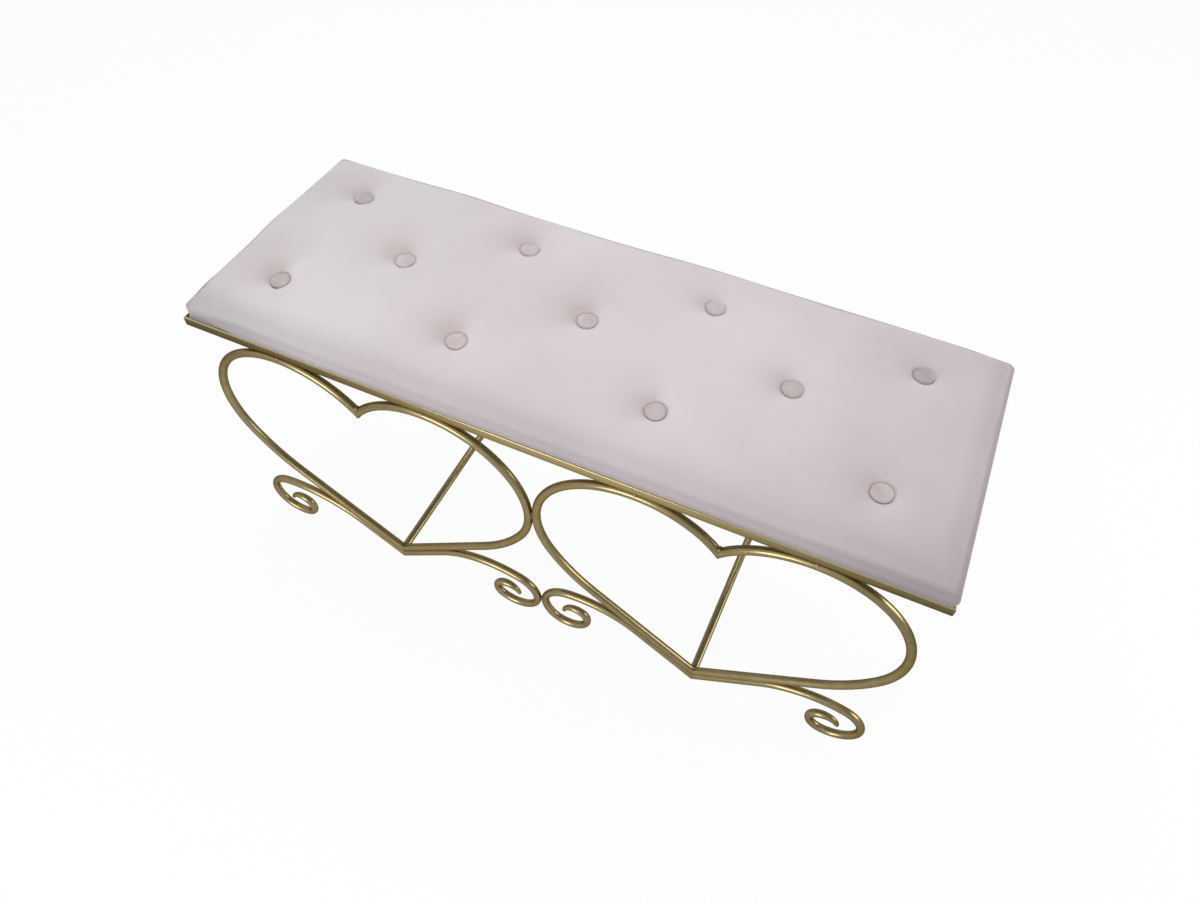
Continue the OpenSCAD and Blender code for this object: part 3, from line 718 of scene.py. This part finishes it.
swollen(-swell)
start = [v.co.copy() for v in cushion.data.vertices]
held = cushion.vertex_groups.new(name="held")
held.add([v.index for v in cushion.data.vertices if v.co.z < seat_z + held_below], 1.0, "REPLACE")
held.add([v.index for v in cushion.data.vertices if v.co.z > seat_z + held_above
          and min(math.hypot(v.co.x - x, v.co.y - y) for x, y in tufts) < held_round_tuft], 1.0, "REPLACE")
puff = cushion.modifiers.new("puff", "CLOTH")
puff.settings.quality = 6
puff.settings.mass = 0.3
puff.settings.tension_stiffness = 12
puff.settings.compression_stiffness = 12
puff.settings.shear_stiffness = 6
puff.settings.bending_stiffness = 0.6
puff.settings.shrink_min = -0.02
puff.settings.use_pressure = True
puff.settings.uniform_pressure_force = 4
puff.settings.effector_weights.gravity = 0
puff.settings.vertex_group_mass = "held"
puff.point_cache.frame_start = 1
puff.point_cache.frame_end = last_frame
for step in range(1, last_frame + 1):
    scene.frame_set(step)
cushion = applied(cushion, "cushion_puffed")
scene.frame_set(1)
for vert, rest in zip(cushion.data.vertices, start):
    moved = vert.co - rest
    most = swell if rest.z < seat_z + side_height else 2 * swell
    if moved.length > most:
        vert.co = rest + moved * (most / moved.length)
settle = cushion.modifiers.new("settle", "SMOOTH")
settle.factor = 0.5
settle.iterations = 3
cushion = applied(cushion, "cushion_settled")

finer = cushion.modifiers.new("finer", "SUBSURF")
finer.levels = finer.render_levels = 1
cushion = applied(cushion, "velvet_cushion")
lap = bmesh.new()
lap.from_mesh(cushion.data)
for height in (lap_low, lap_high):
    bmesh.ops.bisect_plane(lap, geom=lap.verts[:] + lap.edges[:] + lap.faces[:], dist=1e-5,
                           plane_co=(0, 0, seat_z + height), plane_no=(0, 0, 1))
lap.to_mesh(cushion.data)
lap.free()
corner_radius, behind_steel = 0.0032, 0.0033
drawn_from, drawn_to, drawn_fade = 0.002, 0.029, 0.007


def drawn_out(x, y, height):
    """Draws a point of the walls out to its line, and round at the corners."""
    reach_x, reach_y = wall_reach(x / half_length, y / half_depth, height)
    gap_x, gap_y = reach_x - abs(x), reach_y - abs(y)
    if min(gap_x, gap_y) > 0.010:
        return x, y
    if gap_x < corner_radius and gap_y < corner_radius:
        away = Vector((corner_radius - gap_x, corner_radius - gap_y)).normalized() * corner_radius
        gap_x, gap_y = corner_radius - away.x, corner_radius - away.y
    elif gap_x < gap_y:
        gap_x = 0
    else:
        gap_y = 0
    return math.copysign(reach_x - gap_x, x), math.copysign(reach_y - gap_y, y)


for vert in cushion.data.vertices:
    height = vert.co.z - seat_z
    if drawn_from < height < drawn_to:
        place = Vector((*drawn_out(vert.co.x, vert.co.y, height), vert.co.z))
        vert.co = vert.co.lerp(place, min(1, (drawn_to - height) / drawn_fade))


def tuft_shading_at(x, y):
    """How much painted shade and painted light lie round the tufts: shade on each tuft's back left side and in a
    ring round its button, light on its front right side.
    """
    dark = light = 0.0
    for tuft_x, tuft_y in tufts:
        far, angle = math.hypot(x - tuft_x, y - tuft_y), math.atan2(y - tuft_y, x - tuft_x)
        width, lean, deep = (0.030, 28, 1.25) if tuft_x < 0.05 else (0.024, 15, 0.85)
        reach = min(1, math.exp((0.018 - far) / width))
        dark += reach * max(0, -math.cos(angle + math.radians(lean)) * deep, 0.3 - 150 * max(0, far - 0.012))
        light += reach * max(0, math.cos(angle + math.radians(48))) * rise(far, 0.013, 0.019)
    return min(1, dark), min(1, light)


def shaded_at(x, y, height):
    """How much painted shade darkens the rolled edge and the walls where they face away from the light: the front,
    the roll at the right end, and low on the walls under the rolled edge.
    """
    rim, left_end = min(half_length - abs(x), half_depth - abs(y)), rise(-x, 0.30, 0.44)
    front = rise(-y, 0.122, 0.162) ** 2 * (0.41 - 0.12 * rise(x, 0, 0.4) + 0.10 * left_end)
    right_roll = 0.35 * rise(x, 0.462, 0.486)
    tucked = 0.3 * rise(height, 0.022, 0.016)
    walls = rise(rim, 0.014, 0.005) * rise(height, 0.041, 0.033)
    return min(1, max(front, right_roll, walls * (0.60 + 0.3 * left_end + 0.16 * rise(x, 0.34, 0.46) + tucked)))


top_from = 0.020
tuft_painted_shade, tuft_painted_light, painted_wall_shade = (cushion.data.attributes.new(name, "FLOAT", "POINT")
                                 for name in ("tuft_painted_shade", "tuft_painted_light", "side"))
for vert in cushion.data.vertices:
    x, y, z = vert.co
    top = z > seat_z + top_from
    vert.co.z = max(seat_z + 0.0001, z - (tuft_pull(x, y) if top else 0))
    dark, light = tuft_shading_at(x, y) if top else (0, 0)
    tuft_painted_shade.data[vert.index].value = dark
    tuft_painted_light.data[vert.index].value = light
    painted_wall_shade.data[vert.index].value = shaded_at(x, y, z - seat_z)
    if z < seat_z + lap_low + 0.0001:
        vert.co.x = max(behind_steel - half_length, min(half_length - behind_steel, x))
        vert.co.y = max(behind_steel - half_depth, min(half_depth - behind_steel, y))


def piled_velvet(name, relief_strength, relief_distance, drift=None):
    """Short piled velvet with its sheen: its material, tree and shader, the colour still open."""
    fabric, tree, shader = principled(name)
    shader.inputs["Sheen Weight"].default_value = 0.35
    shader.inputs["Sheen Roughness"].default_value = 0.35
    shader.inputs["Sheen Tint"].default_value = (1.0, 0.95, 0.96, 1)
    shader.inputs["Specular IOR Level"].default_value = 0.2
    pile = patches(tree, 1300, 0, 1, 2.0)
    if drift:
        pile = reckon(tree, "ADD", pile, reckon(tree, "MULTIPLY", patches(tree, 45, 0, 1), drift))
    roughened(tree, shader, pile, relief_strength, relief_distance)
    return fabric, tree, shader


def marked(name, share, under, colour, blend="MIX"):
    """Lays a colour over another where the cloth carries the named mark."""
    mark = put(velvet_tree, "ShaderNodeAttribute", attribute_name=name).outputs["Fac"]
    return mixed(velvet_tree, reckon(velvet_tree, "MULTIPLY", mark, share), under, colour, blend)


velvet_cloth, velvet_tree, velvet = piled_velvet("velvet", 0.35, 0.0005, 1.2)
along_seat = put(velvet_tree, "ShaderNodeSeparateXYZ",
                 {0: put(velvet_tree, "ShaderNodeTexCoord").outputs["Object"]}).outputs["X"]
stroked = patches(velvet_tree, 5.5, 0, 1, 4.0)
# Painted light and shade along the seat: the velvet turns greyer towards the left end, and darker and pinker
# towards the right end, as the light falls there.
middle_tone = mixed(velvet_tree, stroked, (0.640, 0.585, 0.597), (0.706, 0.651, 0.669))
right_painted_shade_tone = mixed(velvet_tree, stroked, (0.557, 0.492, 0.510), (0.613, 0.547, 0.571))
left_painted_light_tone = mixed(velvet_tree, stroked, (0.640, 0.603, 0.611), (0.702, 0.664, 0.676))
velvet_tone = mixed(velvet_tree, ramp(velvet_tree, along_seat, 0.2, 0.5, smooth=True), middle_tone, right_painted_shade_tone)
velvet_tone = mixed(velvet_tree, ramp(velvet_tree, along_seat, -0.1, -0.4, smooth=True), velvet_tone, left_painted_light_tone)
# Painted shade and painted light round the tufts, from the marks set above.
velvet_tone = marked("tuft_painted_shade", 0.95, velvet_tone, (0.548, 0.466, 0.467))
velvet_tone = marked("tuft_painted_light", 0.6, velvet_tone, (0.76, 0.71, 0.725))
# Painted shade: the walls and the rolled edge are darkened by the side mark.
velvet_tone = marked("side", 1.0, velvet_tone, (0.50, 0.477, 0.483), "MULTIPLY")
velvet_tree.links.new(velvet_tone, velvet.inputs["Base Color"])
velvet_tree.links.new(patches(velvet_tree, 14, 0.78, 0.92), velvet.inputs["Roughness"])
cushion.data.shade_smooth()
cushion.data.materials.clear()
cushion.data.materials.append(velvet_cloth)
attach(cushion, "root")
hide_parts("velvet_cover")

# The buttons: eleven shell buttons covered in the same velvet, pressed so that a narrow rim stands round a
# nearly flat face. Each hangs on its shank and twine in a tuft, and its velvet is darkened or lightened by its own
# factor.
button_velvet, button_tree, shade = piled_velvet("button_velvet", 0.3, 0.0004)
button_tone = mixed(button_tree, patches(button_tree, 60, 0, 1), (0.533, 0.452, 0.455), (0.640, 0.558, 0.566))
button_tone_factor = put(button_tree, "ShaderNodeAttribute", attribute_name="button_tone_factor").outputs["Fac"]
button_tree.links.new(put(button_tree, "ShaderNodeVectorMath", {0: button_tone, "Scale": button_tone_factor},
                          operation="SCALE").outputs[0], shade.inputs["Base Color"])
shade.inputs["Roughness"].default_value = 0.85
# A factor for each button, by which its velvet tone is darkened or lightened.
button_tone_factors = [0.87, 1.09, 0.93, 1.01, 0.97, 0.99, 0.90, 0.83, 1.0, 0.97, 0.78]
button_sink = 0.012
button_profile = [(0, 0.0061), (0.005, 0.0062), (0.0088, 0.0065), (0.0108, 0.0068), (0.0120, 0.0063),
                  (0.0129, 0.0048), (0.0130, 0.0030), (0.0124, 0.0012), (0.0108, 0.0002), (0.0060, 0), (0.0025, 0),
                  (0.0025, -0.0025), (0, -0.0025)]
for number, (x, y) in enumerate(tufts, 1):
    base = crown(x, y) - button_sink
    button = bmesh.new()
    points = [button.verts.new((x + r, y, base + z)) for r, z in button_profile]
    edges = [button.edges.new(pair) for pair in zip(points, points[1:])]
    bmesh.ops.spin(button, geom=points + edges, cent=(x, y, 0), axis=(0, 0, 1), angle=math.tau, steps=40,
                   use_merge=True, use_duplicate=False)
    thing = piece(f"covered_button_{number}", button, button_velvet, [f"tuft_button_{number}"], sharp=75)
    tone_factor_mark = thing.data.attributes.new("button_tone_factor", "FLOAT", "POINT")
    for vert in thing.data.vertices:
        tone_factor_mark.data[vert.index].value = button_tone_factors[number - 1]
    rounded = thing.modifiers.new("rounded", "SUBSURF")
    rounded.levels = rounded.render_levels = 1
